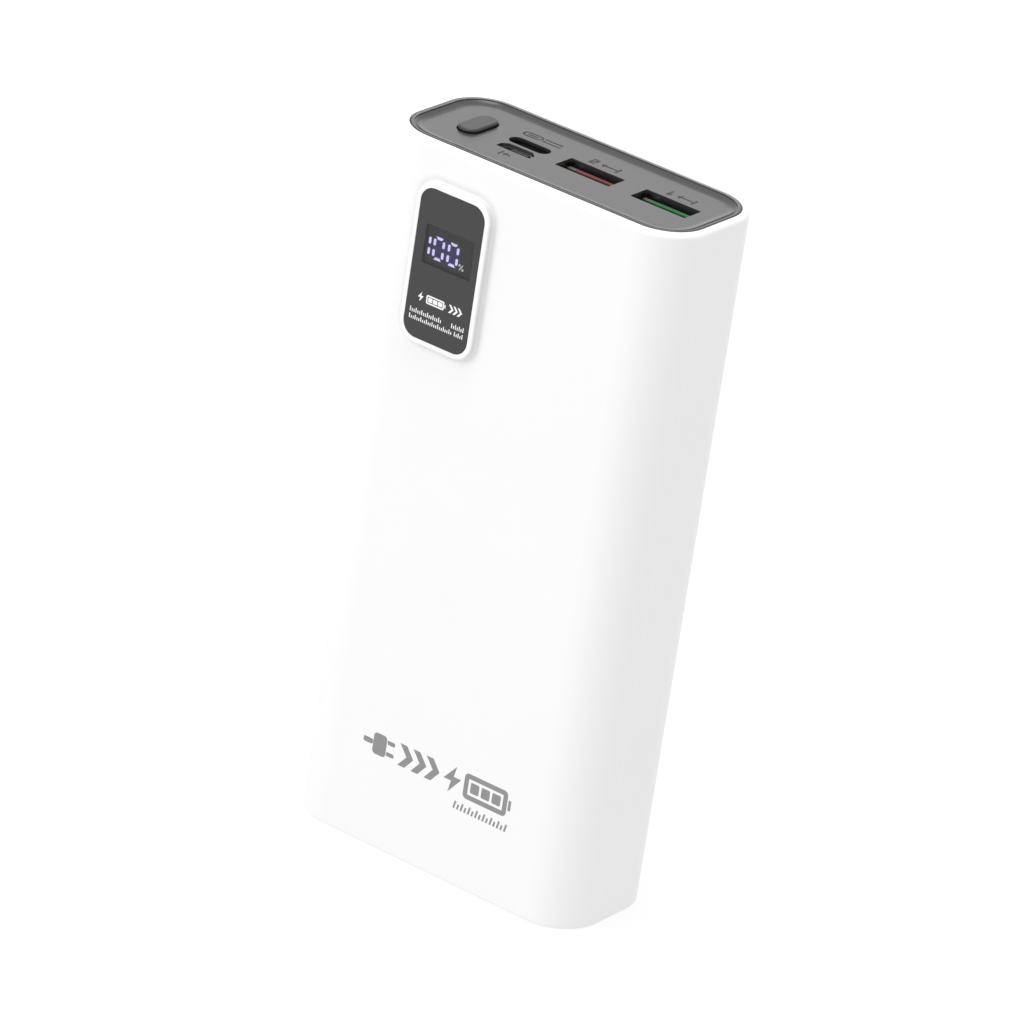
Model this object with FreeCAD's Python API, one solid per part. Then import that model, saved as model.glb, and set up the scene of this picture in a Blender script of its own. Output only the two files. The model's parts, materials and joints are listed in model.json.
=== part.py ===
"""Power bank, drawn as separate sub-parts. Lengths are millimetres.

Frame: +Z runs up the long axis to the sockets, -Y is the side with the display,
+X is on the right when that side is faced. The origin is the centre of the base.
"""
import math
import os

import FreeCAD
import Part

# ---------------------------------------------------------------- body sleeve
BODY_WIDTH = 71.0
BODY_DEPTH = 30.4
BODY_HEIGHT = 148.0
BODY_CORNER = 10.0
BODY_TOP_ROUND = 1.0
BODY_BASE_ROUND = 0.6
CAVITY_WIDTH = 68.2
CAVITY_DEPTH = 27.4
CAVITY_CORNER = 8.5

# ------------------------------------------------------------- port panel (top)
PANEL_WIDTH = 68.0
PANEL_DEPTH = 27.2
PANEL_CORNER = 8.4
PANEL_EDGE_ROUND = 0.5
RIM_WIDTH = 0.85           # flat rim around the dished face
CREASE_WIDTH = 0.4         # shadow groove between the rim and the dish
CREASE_DEPTH = 0.2
LIP_DROP = 0.08            # rim to the outer edge of the dish
RECESS_DEPTH = 0.6         # rim to flat floor
RECESS_REACH = 3.05        # outer edge to where the flat floor starts
PANEL_THICKNESS = 1.2      # under the flat floor
SKIRT_WALL = 1.3
SKIRT_LENGTH = 6.0

FLOOR_Z = BODY_HEIGHT - RECESS_DEPTH
PANEL_UNDER_Z = FLOOR_Z - PANEL_THICKNESS
SKIRT_END_Z = PANEL_UNDER_Z - SKIRT_LENGTH

# --------------------------------------------------------------- bottom cover
COVER_THICKNESS = 2.0
COVER_LIP_HEIGHT = 4.0
COVER_LIP_WALL = 1.2
COVER_LIP_REACH = (22.0, 4.5)   # the lip keeps to the straight runs, clear of the cells
COVER_CHAMFER = 0.3

# Snap hooks on the panel skirt and the cover lip, pockets for them in the sleeve
HOOK_X = (-15.0, 15.0)
HOOK_WIDTH = 8.0
HOOK_HEIGHT = 1.2
HOOK_PROUD = 0.35
HOOK_TOP_Z = BODY_HEIGHT - 5.6
HOOK_BASE_Z = 3.4
POCKET_GAP = 0.15

# --------------------------------------------------- display window and its pad
WINDOW_X = -14.95
WINDOW_Z = BODY_HEIGHT - 23.83
WINDOW_WIDTH = 15.44
WINDOW_HEIGHT = 30.93
WINDOW_CORNER = 3.09
WINDOW_THICKNESS = 1.0
WINDOW_GAP = 0.05
PAD_HEIGHT = 1.4           # the pad stands this far out of the front wall
PAD_BORDER = 1.07          # window edge to the wall of the pad
PAD_ROUND = 0.22
PAD_BASE_ROUND = 0.5
ADHESIVE_THICKNESS = 0.15
ADHESIVE_BORDER = 1.7

FRONT_Y = -BODY_DEPTH / 2.0
PAD_Y = FRONT_Y - PAD_HEIGHT
WINDOW_BACK_Y = PAD_Y + WINDOW_THICKNESS
LEDGE_Y = WINDOW_BACK_Y + ADHESIVE_THICKNESS
CAVITY_FRONT_Y = -CAVITY_DEPTH / 2.0

# ------------------------------------------------------------- display module
DISPLAY_X = -15.3
DISPLAY_Z = BODY_HEIGHT - 20.35
DISPLAY_WIDTH = 12.6
DISPLAY_HEIGHT = 8.9
DISPLAY_DEPTH = 3.0
DISPLAY_FACE_Y = LEDGE_Y + 0.25
DISPLAY_APERTURE_GAP = 0.25
SEGMENT_RELIEF = 0.1
SEGMENT_WIDTH = 0.52
UPRIGHT_LENGTH = 1.42
LEVEL_LENGTH = 1.66        # along the outer side of a level bar
SEGMENT_RISE = 1.1         # middle of an upright bar above or below mid height
DIGIT_HALF_HEIGHT = 2.12   # middle of a level bar above or below mid height
DIGIT_BAR_WIDTH = 2.16     # between the upright bars of one digit
DIGIT_X = (-2.25, 1.22)    # middles of the two round digits, from the middle of the face
TENS_X = -4.48             # the single left-hand bar pair
SIGN_X = 3.53              # the small sign after the digits
SIGN_Z = -1.8
DISPLAY_BOARD_SIZE = (15.0, 20.0, 0.8)

# ----------------------------------------------------------- sockets and board
USB_C_X = -11.55
USB_C_Y = 1.0
MICRO_X = -11.6
USB_A_X = (3.5, 21.55)
USB_A_Y = 0.25
BOARD_THICKNESS = 1.2

USB_A_OPENING = (12.9, 5.5, 0.3)          # width, depth, corner in the panel
USB_A_OUTER = (13.1, 5.7, 14.0)           # metal shell: width, depth, length
USB_A_WALL = 0.3
USB_A_TONGUE = (11.7, 1.05)
USB_A_TONGUE_OFFSET = (-0.2, 1.56)        # from the socket's middle
USB_A_TONGUE_SET_BACK = 0.15              # below the mouth of the shell
USB_A_TAB_WIDTH = 1.9
USB_A_TAB_THICKNESS = 0.15
USB_A_CONTACT_X = (-3.5, -1.0, 1.0, 3.5)  # from the socket's middle
USB_A_CONTACT_WIDTH = 1.2
USB_A_CONTACT_THICKNESS = 0.15
USB_A_CONTACT_SET_BACK = 0.2              # below the end of the tongue

USB_C_OPENING = (9.4, 3.4)
USB_C_OUTER = (8.94, 3.26, 7.3)
USB_C_WALL = 0.3
USB_C_TONGUE = (6.69, 0.7)
USB_C_TONGUE_SET_BACK = 0.75

MICRO_OPENING = (8.0, 2.95, 1.2)          # width, depth, corner chamfer
MICRO_OUTER = (7.5, 2.45, 5.0)
MICRO_CHAMFER = 1.05
MICRO_WALL = 0.25
MICRO_TONGUE = (4.2, 0.6)
MICRO_TONGUE_OFFSET = (0.5, 0.55)         # from the socket's middle
MICRO_TONGUE_SET_BACK = 0.15              # below the mouth of the shell
MICRO_MOUTH_Z = FLOOR_Z - 0.5              # this shell reaches up into its panel opening

MOUTH_Z = PANEL_UNDER_Z - 0.05            # the USB-A and USB-C shells end here
BOARD_BACK_Y = USB_C_Y - USB_C_OUTER[1] / 2.0
BOARD_FRONT_Y = BOARD_BACK_Y - BOARD_THICKNESS
MICRO_Y = BOARD_FRONT_Y - MICRO_OUTER[1] / 2.0

BOARD_HALF_WIDTH = 31.2
BOARD_BOTTOM_Z = 108.0
BOARD_TOP_Z = 145.2
BOARD_NOTCH_X = (-28.6, -18.6)            # cleared under the button guide
BOARD_NOTCH_Z = 143.2
SCREW_X = (-27.0, 27.0)
SCREW_Z = 112.0
SCREW_RADIUS = 1.0
SCREW_HEAD = (1.9, 1.2)                   # radius, height
SCREW_LENGTH = 6.0
PILOT_RADIUS = 1.02

# --------------------------------------------------------------- power button
BUTTON_X = -23.5
BUTTON_Y = 0.0
BUTTON_WIDTH = 4.6
BUTTON_LENGTH = 9.9
BUTTON_PROUD = 0.8                        # above the flat floor
BUTTON_ROUND = 0.45
BUTTON_GAP = 0.25
BUTTON_TRAVEL = 0.3
FLANGE_OVERHANG = 0.6
FLANGE_THICKNESS = 0.8
FLANGE_GAP = 0.1
GUIDE_GAP = 0.15
GUIDE_WALL = 0.9
GUIDE_LENGTH = 2.4
STEM_RADIUS = 1.5
SWITCH_Y = BOARD_BACK_Y + 1.8
SWITCH_BODY = (6.0, 3.6, 3.6)
SWITCH_TOP_Z = 141.6
PLUNGER_SIZE = (3.0, 1.6)
PLUNGER_TOP_Z = 142.95
PLUNGER_DEPTH = 0.7                       # inside the switch at rest
PLUNGER_CLEARANCE = 0.1
STEM_GAP = 0.05

# --------------------------------------------------------------- inner frame
FRAME_WIDTH = 65.2
FRAME_DEPTH = 24.4
FRAME_CORNER = 7.0
FRAME_BASE = 1.2
RAIL_INNER_X = 30.4
RAIL_TOP_Z = PANEL_UNDER_Z - 0.1
CROSS_WALL_Z = (105.2, 106.4)
BACK_PLATE_THICKNESS = 1.2
BACK_PLATE_TOP_Z = 130.0
BOSS_RADIUS = 2.5
GROOVE_DEPTH = 1.0
GROOVE_GAP = 0.05

# -------------------------------------------------------------- battery cells
CELL_WIDTH = 60.0
CELL_THICKNESS = 11.6
CELL_ROUND = 1.5
CELL_SPACING = 0.6         # filled by the double-sided tape
CELL_BASE_Z = COVER_THICKNESS + FRAME_BASE
CELL_BODY_TOP_Z = 101.0
TERRACE_SIZE = (56.0, 3.0)
TERRACE_TOP_Z = 104.5
TAB_X = 14.0
TAB_WIDTH = 5.0
TAB_THICKNESS = 0.2
BAND_THICKNESS = 0.1
BAND_HEIGHT = 12.0
BAND_Z = (20.0, 76.0)
FOAM_SIZE = (44.0, 38.0)
FOAM_Z = 35.0
TAPE_SIZE = (50.0, 90.0)

# ----------------------------------------------------------- protection board
PROTECT_HALF_WIDTH = 18.0
PROTECT_Y = (3.0, 9.0)
PROTECT_THICKNESS = 1.0
LEAD_RADIUS = 0.8
LEAD_Y = 5.0
LEAD_X = (-9.0, -5.0)
LEAD_RISE = 2.1
THERMISTOR_RADIUS = 1.1
THERMISTOR_Y = 6.1
THERMISTOR_WIRE = 0.25
WELL_RADIUS = 2.0          # clearance hole for the thermistor

PARTS = {}


def keep(name, shape):
    """Store a finished sub-part under its node name."""
    if not shape.isValid():
        raise ValueError(name + " is not a valid shape")
    PARTS[name] = shape


def vec(x, y, z):
    return FreeCAD.Vector(x, y, z)


def box(x_range, y_range, z_range):
    """Plain box between pairs of coordinates."""
    size = [high - low for low, high in (x_range, y_range, z_range)]
    corner = vec(x_range[0], y_range[0], z_range[0])
    return Part.makeBox(size[0], size[1], size[2], corner)


def edges_along(shape, axis):
    """Straight edges parallel to one of the main axes."""
    found = []
    for edge in shape.Edges:
        run = edge.Vertexes[-1].Point - edge.Vertexes[0].Point
        if run.Length > 1e-6 and abs(abs(run.dot(axis)) - run.Length) < 1e-6:
            found.append(edge)
    return found


def edges_at(shape, axis, level):
    """Edges that lie wholly in the plane at one level on a main axis."""
    found = []
    for edge in shape.Edges:
        low, high = edge.ParameterRange
        samples = [edge.valueAt(low + (high - low) * part) for part in (0.0, 0.5, 1.0)]
        if all(abs(point.dot(axis) - level) < 1e-5 for point in samples):
            found.append(edge)
    return found


Y_AXIS = vec(0, 1, 0)
Z_AXIS = vec(0, 0, 1)


def upright(width, depth, corner, z_range, centre=(0.0, 0.0)):
    """Prism along Z whose plan is a rectangle with rounded corners."""
    block = box((centre[0] - width / 2.0, centre[0] + width / 2.0),
                (centre[1] - depth / 2.0, centre[1] + depth / 2.0), z_range)
    return block.makeFillet(corner, edges_along(block, Z_AXIS)) if corner else block


def facing(width, height, corner, y_range, centre):
    """Prism along Y whose front view is a rectangle with rounded corners."""
    block = box((centre[0] - width / 2.0, centre[0] + width / 2.0), y_range,
                (centre[1] - height / 2.0, centre[1] + height / 2.0))
    return block.makeFillet(corner, edges_along(block, Y_AXIS)) if corner else block


def stadium(width, depth, z_range, centre):
    """Prism along Z with two straight sides and two half-round ends."""
    radius = min(width, depth) / 2.0
    reach_x = width / 2.0 - radius
    reach_y = depth / 2.0 - radius
    wide = width > depth
    across = vec(0, 1, 0) if wide else vec(1, 0, 0)
    base = vec(centre[0], centre[1], z_range[0])
    end_a = base + vec(reach_x, reach_y, 0)
    end_b = base - vec(reach_x, reach_y, 0)
    outward = end_a - end_b
    outward.normalize()
    line_1 = Part.LineSegment(end_b + across * radius, end_a + across * radius)
    arc_1 = Part.Arc(end_a + across * radius, end_a + outward * radius,
                     end_a - across * radius)
    line_2 = Part.LineSegment(end_a - across * radius, end_b - across * radius)
    arc_2 = Part.Arc(end_b - across * radius, end_b - outward * radius,
                     end_b + across * radius)
    wire = Part.Wire([item.toShape() for item in (line_1, arc_1, line_2, arc_2)])
    return Part.Face(wire).extrude(vec(0, 0, z_range[1] - z_range[0]))


def chamfered_slot(width, depth, chamfer, z_range, centre):
    """Prism along Z, a rectangle with its two +Y corners cut off."""
    half_w = width / 2.0
    half_d = depth / 2.0
    plan = [(-half_w, -half_d), (half_w, -half_d), (half_w, half_d - chamfer),
            (half_w - chamfer, half_d), (-half_w + chamfer, half_d),
            (-half_w, half_d - chamfer)]
    points = [vec(centre[0] + x, centre[1] + y, z_range[0]) for x, y in plan]
    face = Part.Face(Part.makePolygon(points + [points[0]]))
    return face.extrude(vec(0, 0, z_range[1] - z_range[0]))


def rod(radius, start, end):
    """Round bar between two points."""
    run = end - start
    return Part.makeCylinder(radius, run.Length, start, run)


def hooks(face_y, z_level, proud, gap=0.0):
    """Wedges on the front and back of a ring, or the pockets that take them."""
    found = []
    for side in (-1.0, 1.0):
        for x in HOOK_X:
            near = side * (face_y - 0.2)
            far = side * (face_y + proud)
            found.append(box((x - HOOK_WIDTH / 2.0 - gap, x + HOOK_WIDTH / 2.0 + gap),
                             (min(near, far), max(near, far)),
                             (z_level - gap, z_level + HOOK_HEIGHT + gap)))
    return found


def main_shell():
    """One-piece white sleeve with the raised pad that holds the display window."""
    body = upright(BODY_WIDTH, BODY_DEPTH, BODY_CORNER, (0.0, BODY_HEIGHT))
    body = body.makeFillet(BODY_TOP_ROUND, edges_at(body, Z_AXIS, BODY_HEIGHT))
    body = body.makeFillet(BODY_BASE_ROUND, edges_at(body, Z_AXIS, 0.0))
    centre = (WINDOW_X, WINDOW_Z)
    pad = facing(WINDOW_WIDTH + 2.0 * PAD_BORDER, WINDOW_HEIGHT + 2.0 * PAD_BORDER,
                 WINDOW_CORNER + PAD_BORDER, (PAD_Y, FRONT_Y + 0.5), centre)
    pad = pad.makeFillet(PAD_ROUND, edges_at(pad, Y_AXIS, PAD_Y))
    body = body.fuse(pad).removeSplitter()
    body = body.makeFillet(PAD_BASE_ROUND, edges_at(body, Y_AXIS, FRONT_Y))
    body = body.cut(upright(CAVITY_WIDTH, CAVITY_DEPTH, CAVITY_CORNER,
                            (-1.0, BODY_HEIGHT + 1.0)))
    body = body.cut(facing(WINDOW_WIDTH + 2.0 * WINDOW_GAP,
                           WINDOW_HEIGHT + 2.0 * WINDOW_GAP,
                           WINDOW_CORNER + WINDOW_GAP, (PAD_Y - 1.0, LEDGE_Y), centre))
    body = body.cut(facing(DISPLAY_WIDTH + 2.0 * DISPLAY_APERTURE_GAP,
                           DISPLAY_HEIGHT + 2.0 * DISPLAY_APERTURE_GAP, 0.4,
                           (PAD_Y, CAVITY_FRONT_Y + 1.0), (DISPLAY_X, DISPLAY_Z)))
    for z_level in (HOOK_TOP_Z, HOOK_BASE_Z):
        for pocket in hooks(CAVITY_DEPTH / 2.0, z_level, HOOK_PROUD, POCKET_GAP):
            body = body.cut(pocket)
    keep("main_shell", body)


def bottom_cover():
    """Flat cover that closes the sleeve and is the face the object stands on."""
    cover = upright(PANEL_WIDTH, PANEL_DEPTH, PANEL_CORNER, (0.0, COVER_THICKNESS))
    cover = cover.makeChamfer(COVER_CHAMFER, edges_at(cover, Z_AXIS, 0.0))
    lip_z = (COVER_THICKNESS, COVER_THICKNESS + COVER_LIP_HEIGHT)
    lip = upright(PANEL_WIDTH, PANEL_DEPTH, PANEL_CORNER, lip_z)
    lip = lip.cut(upright(PANEL_WIDTH - 2.0 * COVER_LIP_WALL,
                          PANEL_DEPTH - 2.0 * COVER_LIP_WALL,
                          PANEL_CORNER - COVER_LIP_WALL, lip_z))
    reach_x, reach_y = COVER_LIP_REACH
    straight_runs = box((-reach_x, reach_x), (-PANEL_DEPTH, PANEL_DEPTH), lip_z)
    straight_runs = straight_runs.fuse(
        box((-PANEL_WIDTH, PANEL_WIDTH), (-reach_y, reach_y), lip_z))
    cover = cover.fuse(lip.common(straight_runs))
    for hook in hooks(PANEL_DEPTH / 2.0, HOOK_BASE_Z, HOOK_PROUD):
        cover = cover.fuse(hook)
    keep("bottom_cover", cover.removeSplitter())


def panel_inset(inset, z_range):
    """Prism inside the panel's outline, moved in by the inset all round."""
    return upright(PANEL_WIDTH - 2.0 * inset, PANEL_DEPTH - 2.0 * inset,
                   PANEL_CORNER - inset, z_range)


def recess_cutter():
    """Removes the dished face and the shadow groove that parts it from the rim."""
    lip_inset = RIM_WIDTH + CREASE_WIDTH
    run = RECESS_REACH - lip_inset
    rise = RECESS_DEPTH - LIP_DROP
    radius = (run * run + rise * rise) / (2.0 * rise)
    spread = radius - RECESS_REACH
    bowl = upright(PANEL_WIDTH + 2.0 * spread, PANEL_DEPTH + 2.0 * spread,
                   PANEL_CORNER + spread, (FLOOR_Z, FLOOR_Z + 3.0 * radius))
    bowl = bowl.makeFillet(radius, edges_at(bowl, Z_AXIS, FLOOR_Z))
    dish = bowl.common(panel_inset(lip_inset, (FLOOR_Z - 1.0, BODY_HEIGHT + 1.0)))
    groove_z = (BODY_HEIGHT - CREASE_DEPTH, BODY_HEIGHT + 1.0)
    groove = panel_inset(RIM_WIDTH, groove_z).cut(panel_inset(lip_inset, groove_z))
    return dish.fuse(groove)


def port_panel():
    """Dark end panel with a dished face, the socket openings and the button hole."""
    panel = upright(PANEL_WIDTH, PANEL_DEPTH, PANEL_CORNER, (PANEL_UNDER_Z, BODY_HEIGHT))
    panel = panel.makeFillet(PANEL_EDGE_ROUND, edges_at(panel, Z_AXIS, BODY_HEIGHT))
    panel = panel.cut(recess_cutter())
    through = (PANEL_UNDER_Z - 0.5, BODY_HEIGHT)
    openings = [
        stadium(BUTTON_WIDTH + 2.0 * BUTTON_GAP, BUTTON_LENGTH + 2.0 * BUTTON_GAP,
                through, (BUTTON_X, BUTTON_Y)),
        stadium(USB_C_OPENING[0], USB_C_OPENING[1], through, (USB_C_X, USB_C_Y)),
        chamfered_slot(MICRO_OPENING[0], MICRO_OPENING[1], MICRO_OPENING[2],
                       through, (MICRO_X, MICRO_Y)),
    ]
    for x in USB_A_X:
        openings.append(upright(USB_A_OPENING[0], USB_A_OPENING[1], USB_A_OPENING[2],
                                through, (x, USB_A_Y)))
    for opening in openings:
        panel = panel.cut(opening)
    keep("port_panel", panel.removeSplitter())


def panel_clip_ring():
    """Skirt welded under the panel, with the hooks that snap into the sleeve."""
    z_range = (SKIRT_END_Z, PANEL_UNDER_Z)
    ring = upright(PANEL_WIDTH, PANEL_DEPTH, PANEL_CORNER, z_range)
    ring = ring.cut(upright(PANEL_WIDTH - 2.0 * SKIRT_WALL, PANEL_DEPTH - 2.0 * SKIRT_WALL,
                            PANEL_CORNER - SKIRT_WALL, z_range))
    for hook in hooks(PANEL_DEPTH / 2.0, HOOK_TOP_Z, HOOK_PROUD):
        ring = ring.fuse(hook)
    keep("panel_clip_ring", ring.removeSplitter())


def button_guide():
    """Collar welded under the panel that keeps the button's flange straight."""
    centre = (BUTTON_X, BUTTON_Y)
    inner_w = BUTTON_WIDTH + 2.0 * (FLANGE_OVERHANG + GUIDE_GAP)
    inner_l = BUTTON_LENGTH + 2.0 * (FLANGE_OVERHANG + GUIDE_GAP)
    z_range = (PANEL_UNDER_Z - GUIDE_LENGTH, PANEL_UNDER_Z)
    guide = stadium(inner_w + 2.0 * GUIDE_WALL, inner_l + 2.0 * GUIDE_WALL, z_range, centre)
    keep("button_guide", guide.cut(stadium(inner_w, inner_l, z_range, centre)))


def power_button():
    """Capsule-shaped key with a retaining flange and a stem to the switch."""
    centre = (BUTTON_X, BUTTON_Y)
    top_z = FLOOR_Z + BUTTON_PROUD
    flange_top = PANEL_UNDER_Z - FLANGE_GAP
    flange_z = (flange_top - FLANGE_THICKNESS, flange_top)
    key = stadium(BUTTON_WIDTH, BUTTON_LENGTH, (flange_z[0], top_z), centre)
    key = key.makeFillet(BUTTON_ROUND, edges_at(key, Z_AXIS, top_z))
    flange = stadium(BUTTON_WIDTH + 2.0 * FLANGE_OVERHANG,
                     BUTTON_LENGTH + 2.0 * FLANGE_OVERHANG, flange_z, centre)
    stem = rod(STEM_RADIUS, vec(BUTTON_X, SWITCH_Y, PLUNGER_TOP_Z + STEM_GAP),
               vec(BUTTON_X, SWITCH_Y, flange_z[0] + 0.2))
    keep("power_button", key.fuse(flange).fuse(stem).removeSplitter())


def tact_switch():
    """Side-push switch on the board and its plunger, which the button pushes."""
    plunger_base = SWITCH_TOP_Z - PLUNGER_DEPTH
    body = upright(SWITCH_BODY[0], SWITCH_BODY[1], 0.0,
                   (SWITCH_TOP_Z - SWITCH_BODY[2], SWITCH_TOP_Z), (BUTTON_X, SWITCH_Y))
    well = upright(PLUNGER_SIZE[0] + 2.0 * PLUNGER_CLEARANCE,
                   PLUNGER_SIZE[1] + 2.0 * PLUNGER_CLEARANCE, 0.0,
                   (plunger_base - 2.0 * BUTTON_TRAVEL, SWITCH_TOP_Z + 1.0),
                   (BUTTON_X, SWITCH_Y))
    keep("tact_switch_body", body.cut(well))
    keep("switch_plunger", upright(PLUNGER_SIZE[0], PLUNGER_SIZE[1], 0.3,
                                   (plunger_base, PLUNGER_TOP_Z), (BUTTON_X, SWITCH_Y)))


def window_and_display():
    """Smoked window, its adhesive frame and the lit digit module behind it."""
    centre = (WINDOW_X, WINDOW_Z)
    keep("display_window", facing(WINDOW_WIDTH, WINDOW_HEIGHT, WINDOW_CORNER,
                                  (PAD_Y, WINDOW_BACK_Y), centre))
    frame_y = (WINDOW_BACK_Y, LEDGE_Y)
    adhesive = facing(WINDOW_WIDTH, WINDOW_HEIGHT, WINDOW_CORNER, frame_y, centre)
    adhesive = adhesive.cut(facing(WINDOW_WIDTH - 2.0 * ADHESIVE_BORDER,
                                   WINDOW_HEIGHT - 2.0 * ADHESIVE_BORDER,
                                   WINDOW_CORNER - ADHESIVE_BORDER, frame_y, centre))
    keep("window_adhesive", adhesive)

    back_y = DISPLAY_FACE_Y + DISPLAY_DEPTH
    keep("display_module", facing(DISPLAY_WIDTH, DISPLAY_HEIGHT, 0.2,
                                  (DISPLAY_FACE_Y, back_y), (DISPLAY_X, DISPLAY_Z)))
    board_z = DISPLAY_Z - 4.0
    keep("display_board", facing(DISPLAY_BOARD_SIZE[0], DISPLAY_BOARD_SIZE[1], 0.5,
                                 (back_y, back_y + DISPLAY_BOARD_SIZE[2]),
                                 (DISPLAY_X, board_z)))
    keep("display_segments", Part.makeCompound(segments()))
    display_header(back_y + DISPLAY_BOARD_SIZE[2], board_z)


def raised(plan, x, z):
    """Slim plate on the face of the digit module with the given outline."""
    points = [vec(DISPLAY_X + x + dx, DISPLAY_FACE_Y, DISPLAY_Z + z + dz)
              for dx, dz in plan]
    face = Part.Face(Part.makePolygon(points + [points[0]]))
    return face.extrude(vec(0, -SEGMENT_RELIEF, 0))


def upright_bar(x, side):
    """Upright lit bar above (side 1) or below (side -1) mid height, with cut corners."""
    half = UPRIGHT_LENGTH / 2.0
    slim = SEGMENT_WIDTH / 2.0
    cut = slim * 0.6
    plan = [(0.0, -half), (slim, -half + cut), (slim, half - cut), (0.0, half),
            (-slim, half - cut), (-slim, -half + cut)]
    return raised(plan, x, side * SEGMENT_RISE)


def level_bar(x, side):
    """Level lit bar at the top (side 1) or bottom (side -1), wider on its outer side."""
    half = LEVEL_LENGTH / 2.0
    slim = side * SEGMENT_WIDTH / 2.0
    plan = [(-half, slim), (half, slim), (half - SEGMENT_WIDTH * 0.7, -slim),
            (-half + SEGMENT_WIDTH * 0.7, -slim)]
    return raised(plan, x, side * DIGIT_HALF_HEIGHT)


def segments():
    """The lit bars: a single pair, then two digits with their middle bar dark."""
    found = []
    for side in (-1.0, 1.0):
        found.append(upright_bar(TENS_X, side))
        for middle in DIGIT_X:
            found.append(level_bar(middle, side))
            for column in (-0.5, 0.5):
                found.append(upright_bar(middle + column * DIGIT_BAR_WIDTH, side))
    found.append(percent_sign())
    return found


def percent_sign():
    """Small sign after the digits: a slanted stroke and two square dots."""
    relief = (DISPLAY_FACE_Y - SEGMENT_RELIEF, DISPLAY_FACE_Y)
    stroke = box((-0.1, 0.1), relief, (-0.68, 0.68))
    stroke.rotate(vec(0, 0, 0), Y_AXIS, 35.0)
    dots = [box((x - 0.2, x + 0.2), relief, (z - 0.2, z + 0.2))
            for x, z in ((-0.4, 0.38), (0.4, -0.38))]
    sign = Part.makeCompound([stroke] + dots)
    sign.translate(vec(DISPLAY_X + SIGN_X, 0, DISPLAY_Z + SIGN_Z))
    return sign


def display_header(start_y, board_z):
    """Pin header that joins the small display board to the main board."""
    pitch = 2.54
    pin_half = 0.32
    middle_z = board_z - 3.0
    half_x = 2.5 * pitch
    z_range = (middle_z - pitch / 2.0, middle_z + pitch / 2.0)
    header = box((DISPLAY_X - half_x, DISPLAY_X + half_x), (start_y, start_y + 2.4),
                 z_range)
    header = header.fuse(box((DISPLAY_X - half_x, DISPLAY_X + half_x),
                             (BOARD_FRONT_Y - 2.5, BOARD_FRONT_Y), z_range))
    for index in range(5):
        x = DISPLAY_X + (index - 2) * pitch
        header = header.fuse(box((x - pin_half, x + pin_half), (start_y, BOARD_FRONT_Y),
                                 (middle_z - pin_half, middle_z + pin_half)))
    keep("display_header", header)


def usb_a(index, x):
    """One USB-A socket: shell, coloured tongue, contacts and a side contact tab."""
    name = "usb_a_" + str(index)
    width, depth, length = USB_A_OUTER
    centre = (x, USB_A_Y)
    base_z = MOUTH_Z - length
    inner_w = width - 2.0 * USB_A_WALL
    inner_d = depth - 2.0 * USB_A_WALL
    shell = upright(width, depth, 0.6, (base_z, MOUTH_Z), centre)
    shell = shell.cut(upright(inner_w, inner_d, 0.3, (base_z - 1.0, MOUTH_Z + 1.0),
                              centre))
    for side in (-1.0, 1.0):
        inner = x + side * (width / 2.0 - 0.1)
        outer = x + side * (width / 2.0 + 1.6)
        shell = shell.fuse(box((min(inner, outer), max(inner, outer)),
                               (BOARD_FRONT_Y - 0.3, BOARD_FRONT_Y),
                               (base_z + 2.0, base_z + 6.0)))
    keep(name + "_shell", shell)

    tip_z = MOUTH_Z - USB_A_TONGUE_SET_BACK
    tongue_w, tongue_t = USB_A_TONGUE
    face_y = USB_A_Y + USB_A_TONGUE_OFFSET[1] - tongue_t / 2.0
    left_x = x + USB_A_TONGUE_OFFSET[0] - tongue_w / 2.0
    tongue = box((left_x, left_x + tongue_w), (face_y, face_y + tongue_t),
                 (base_z, tip_z))
    tongue = tongue.fuse(upright(inner_w, inner_d, 0.3, (base_z, base_z + 2.5), centre))
    tab_x = (left_x, left_x + USB_A_TAB_WIDTH)
    tab_back = face_y + tongue_t
    tab_tip = box(tab_x, (face_y, tab_back), (tip_z - USB_A_TAB_THICKNESS, tip_z))
    tab_leg = box(tab_x, (tab_back - USB_A_TAB_THICKNESS, tab_back),
                  (base_z + 5.0, tip_z))
    tab = tab_tip.fuse(tab_leg).removeSplitter()
    keep(name + "_side_contact", tab)
    contacts = []
    for offset in USB_A_CONTACT_X:
        left = x + offset - USB_A_CONTACT_WIDTH / 2.0
        y_range = (face_y, face_y + USB_A_CONTACT_THICKNESS)
        contacts.append(box((left, left + USB_A_CONTACT_WIDTH), y_range,
                            (base_z + 2.5, tip_z - USB_A_CONTACT_SET_BACK)))
    for piece in contacts + [tab]:
        tongue = tongue.cut(piece)
    keep(name + "_tongue", tongue.removeSplitter())
    keep(name + "_contacts", Part.makeCompound(contacts))


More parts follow.
